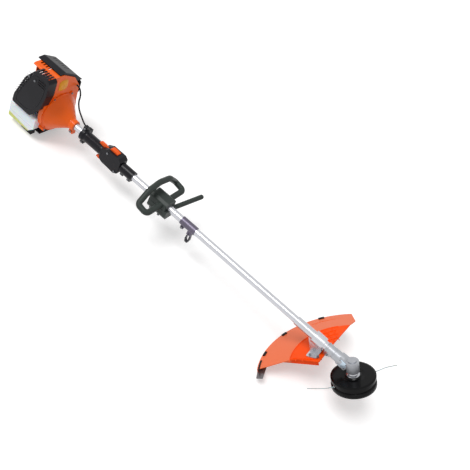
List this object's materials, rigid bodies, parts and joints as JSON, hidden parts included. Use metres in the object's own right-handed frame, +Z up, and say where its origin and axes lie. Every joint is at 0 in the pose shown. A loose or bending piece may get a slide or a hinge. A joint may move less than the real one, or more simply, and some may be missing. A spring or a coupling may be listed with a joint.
{
  "type": "brush cutter",
  "caption": "Petrol brush cutter: two-stroke engine on a straight aluminium tube, loop handle with barrier bar, orange guard and bump-feed line head, lying on its stand and guard.",
  "frame": {"origin": "middle of the underside of the box, on the floor the machine lies on", "axes": "+X along the machine from the engine to the cutting head, +Y the operator's left, +Z up"},
  "size_m": [1.6312, 0.4514, 0.3],
  "materials": {
    "tube_aluminium": "satin anodised",
    "cast_alloy": "fine sand-cast, blasted",
    "polished_steel": "turned",
    "dark_steel": "oiled",
    "screw_steel": "zinc plated",
    "orange_plastic": "moulded, semi-gloss",
    "orange_guard": "moulded, satin",
    "black_plastic": "moulded, fine texture",
    "grip_rubber": "soft grip",
    "loop_rubber": "moulded rubber over steel",
    "tank_plastic": "translucent white",
    "cable_black": "sheath",
    "nylon_line": "nylon monofilament",
    "clear_rubber": "translucent",
    "filter_foam": "open foam",
    "ceramic_white": "glazed",
    "cutter_steel": "pressed steel"
  },
  "bodies": {
    "root": {"drive_tube": "tube_aluminium", "shaft_bushes": "black_plastic", "ball_bearings": "polished_steel", "gearbox_housing": "cast_alloy", "guard": "orange_guard", "line_cutter": "cutter_steel", "clutch_housing": "orange_plastic", "crankcase_front": "cast_alloy", "crankcase_rear": "cast_alloy", "cylinder": "cast_alloy", "spark_plug": "ceramic_white", "plug_boot": "cable_black", "ignition_coil": "black_plastic", "fan_shroud": "orange_plastic", "muffler": "dark_steel", "muffler_cover": "black_plastic", "intake_block": "black_plastic", "carburettor": "cast_alloy", "air_filter_base": "black_plastic", "air_filter_element": "filter_foam", "fuel_tank": "tank_plastic", "fuel_lines": "clear_rubber", "starter_housing": "black_plastic", "engine_screws": "screw_steel", "handle_sleeve": "grip_rubber", "throttle_cable": "cable_black", "loop_handle": "loop_rubber", "loop_clamp": "black_plastic", "barrier_bar": "loop_rubber", "harness_clamp": "cast_alloy", "frame_screws": "screw_steel", "guard_bracket": "cast_alloy", "handle_shell_left": "grip_rubber", "handle_shell_right": "grip_rubber", "tank_stand": "black_plastic"},
    "crank": {"crankshaft": "polished_steel", "flywheel": "cast_alloy", "clutch_shoes": "dark_steel", "starter_pawls": "dark_steel"},
    "slider": {"piston": "cast_alloy", "connecting_rod": "polished_steel"},
    "drive": {"drive_shaft": "polished_steel", "clutch_drum": "dark_steel", "pinion_gear": "dark_steel"},
    "head": {"output_spindle": "polished_steel", "head_housing": "black_plastic", "line_end_a": "nylon_line", "line_end_b": "nylon_line"},
    "spool": {"line_spool": "black_plastic"},
    "reel": {"starter_reel": "black_plastic"},
    "pull": {"starter_grip": "grip_rubber"},
    "trigger": {"throttle_trigger": "orange_plastic"},
    "lockout": {"lockout_lever": "orange_plastic"},
    "switch": {"stop_switch": "orange_plastic"},
    "cam": {"throttle_cam": "dark_steel"},
    "choke": {"choke_lever": "orange_plastic"},
    "filter_cover": {"air_filter_cover": "black_plastic"},
    "bulb": {"primer_bulb": "clear_rubber"},
    "cap": {"fuel_cap": "black_plastic"},
    "hook": {"harness_hook": "dark_steel"}
  },
  "joints": [
    {"name": "crankshaft_spin", "type": "hinge", "parent": "root", "child": "crank", "pos_m": [-0.72785, -0.06049, 0.12254], "axis": [0.9984, 0, 0.057], "continuous": true},
    {"name": "piston_stroke", "type": "slide", "parent": "root", "child": "slider", "axis": [-0.057, 0, 0.9984], "range_m": [0, 0.034]},
    {"name": "drive_spin", "type": "hinge", "parent": "root", "child": "drive", "pos_m": [-0.61303, -0.06049, 0.12909], "axis": [0.9984, 0, 0.057], "continuous": true},
    {"name": "head_spin", "type": "hinge", "parent": "root", "child": "head", "pos_m": [0.70981, -0.06049, 0.20459], "axis": [0.645, 0, -0.7642], "continuous": true},
    {"name": "bump_knob", "type": "slide", "parent": "head", "child": "spool", "axis": [-0.645, 0, 0.7642], "range_m": [0, 0.004], "stiffness_N_per_m": 1500, "springref_m": -0.002},
    {"name": "starter_pull", "type": "slide", "parent": "root", "child": "pull", "axis": [0, 1, 0], "range_m": [0, 0.045], "stiffness_N_per_m": 60, "springref_m": -0.02},
    {"name": "starter_reel_turn", "type": "hinge", "parent": "root", "child": "reel", "pos_m": [-0.76279, -0.06049, 0.12055], "axis": [0.9984, 0, 0.057], "range_deg": [-95, 0]},
    {"name": "throttle_trigger", "type": "hinge", "parent": "root", "child": "trigger", "pos_m": [-0.407, -0.06049, 0.11681], "axis": [0, 1, 0], "range_deg": [0, 12], "stiffness_Nm_per_rad": 0.8, "springref_deg": -5.73},
    {"name": "throttle_cam_turn", "type": "hinge", "parent": "root", "child": "cam", "pos_m": [-0.73708, 0.01551, 0.21416], "axis": [-0.057, 0, 0.9984], "range_deg": [0, 62]},
    {"name": "lockout_lever", "type": "hinge", "parent": "root", "child": "lockout", "pos_m": [-0.42454, -0.06049, 0.16089], "axis": [0, -1, 0], "range_deg": [0, 7], "stiffness_Nm_per_rad": 0.6, "springref_deg": -5.73},
    {"name": "stop_switch", "type": "slide", "parent": "root", "child": "switch", "axis": [0.9984, 0, 0.057], "range_m": [0, 0.008]},
    {"name": "choke_lever", "type": "hinge", "parent": "root", "child": "choke", "pos_m": [-0.70143, 0.03251, 0.18615], "axis": [0, 1, 0], "range_deg": [0, 35]},
    {"name": "filter_cover_off", "type": "slide", "parent": "root", "child": "filter_cover", "axis": [0, 1, 0], "range_m": [0, 0.05]},
    {"name": "primer_bulb", "type": "slide", "parent": "root", "child": "bulb", "axis": [0, -1, 0], "range_m": [0, 0.004], "stiffness_N_per_m": 800, "springref_m": -0.001},
    {"name": "fuel_cap_off", "type": "slide", "parent": "root", "child": "cap", "axis": [0, 1, 0], "range_m": [0, 0.03]},
    {"name": "harness_hook_swing", "type": "hinge", "parent": "root", "child": "hook", "pos_m": [-0.00272, -0.06049, 0.14089], "axis": [0, 1, 0], "range_deg": [-75, 30]}
  ],
  "couplings": [
    {"joint": "head_spin", "follows": "drive_spin", "ratio": -0.73684},
    {"joint": "starter_reel_turn", "follows": "starter_pull", "rad_per_m": -31.25},
    {"joint": "throttle_cam_turn", "follows": "throttle_trigger", "ratio": 5}
  ]
}
